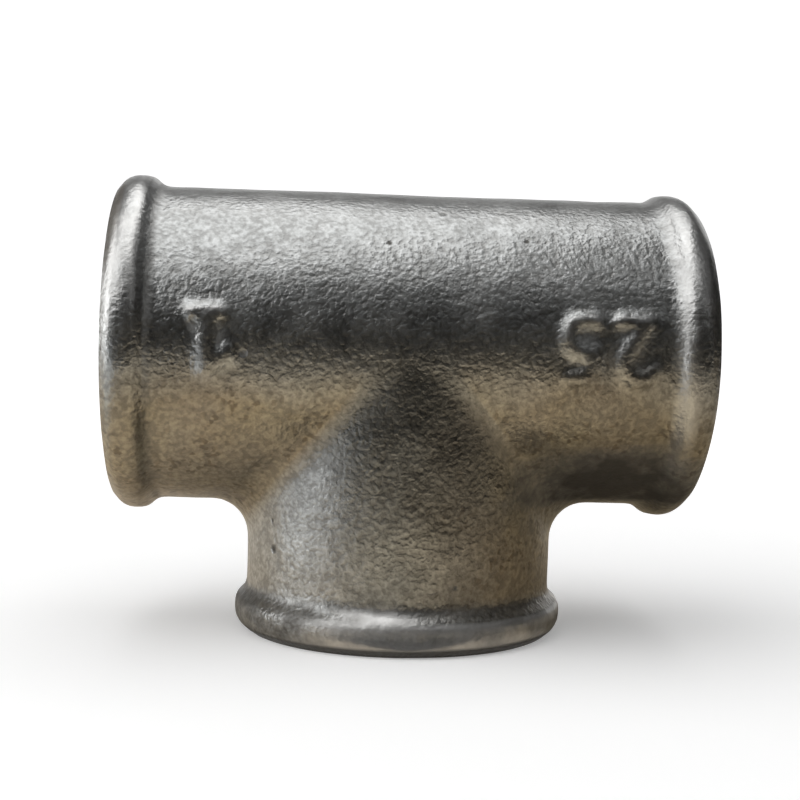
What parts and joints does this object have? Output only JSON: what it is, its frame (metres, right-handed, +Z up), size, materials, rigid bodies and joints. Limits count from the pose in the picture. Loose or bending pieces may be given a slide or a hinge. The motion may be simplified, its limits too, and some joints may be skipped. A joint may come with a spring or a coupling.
{
  "type": "pipe tee",
  "caption": "Galvanised cast iron pipe tee with equal banded ends threaded inside, joining a straight pipe run to a branch at right angles.",
  "frame": {"origin": "centre of the branch's end face, which the tee stands on", "axes": "+X along the run towards its right end, +Z up the branch towards the run, +Y away from the viewer"},
  "size_m": [0.076, 0.0446, 0.0603],
  "materials": {
    "galvanised_iron": "hot-dip galvanised cast skin, dull grey with a fine grain"
  },
  "bodies": {
    "root": {"tee_body": "galvanised_iron"}
  },
  "joints": []
}
